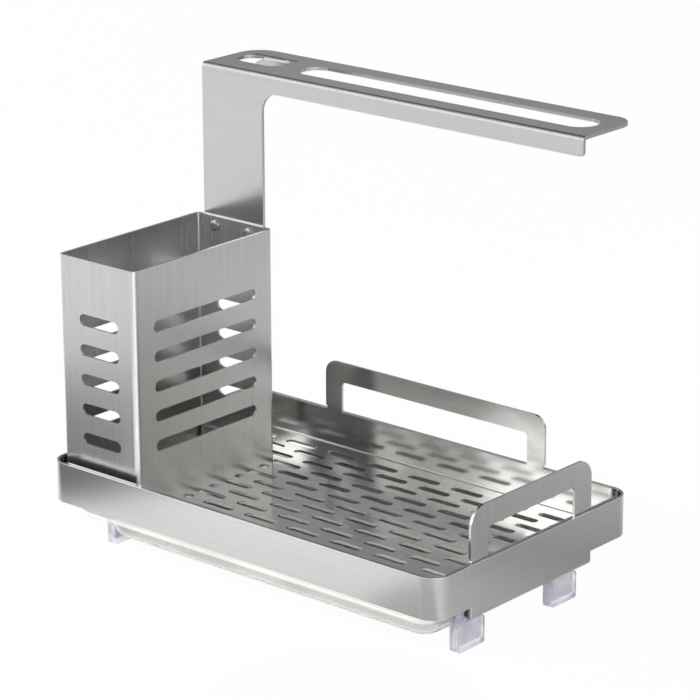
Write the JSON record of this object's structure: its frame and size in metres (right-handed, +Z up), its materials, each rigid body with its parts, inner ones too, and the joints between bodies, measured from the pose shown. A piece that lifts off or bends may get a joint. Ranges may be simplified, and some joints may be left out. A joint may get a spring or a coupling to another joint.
{
  "type": "sponge holder",
  "caption": "Free-standing sink tidy of folded sheet steel: slotted brush cup, bolted cloth arm, perforated sponge tray with guards, and a clear drip tray that pulls out.",
  "frame": {"origin": "centre of the holder's outline seen from above, at the level of the counter under the feet", "axes": "+X along the holder, away from the brush cup; +Y towards the back, where the cloth arm stands; +Z up"},
  "size_m": [0.235, 0.1418, 0.2136],
  "materials": {
    "steel_sheet": "fine brushed stainless sheet",
    "screw_steel": "plain stainless fasteners",
    "clear_plastic": "clear moulded plastic, slightly grey",
    "silicone": "milky translucent silicone with a faint lavender tint"
  },
  "bodies": {
    "holder": {"rim_band": "steel_sheet", "drain_tray": "steel_sheet", "brush_cup": "steel_sheet", "cup_base": "steel_sheet", "cup_screws": "screw_steel", "cup_nuts": "screw_steel", "cloth_arm": "steel_sheet", "arm_screws": "screw_steel", "arm_nuts": "screw_steel", "foot_front_left": "silicone", "foot_front_right": "silicone", "foot_rear_left": "silicone", "foot_rear_right": "silicone"},
    "drip_tray": {"drip_tray": "clear_plastic"}
  },
  "joints": [
    {"name": "drip_tray_slide", "type": "slide", "parent": "holder", "child": "drip_tray", "axis": [0, -1, 0], "range_m": [0, 0.095]}
  ]
}
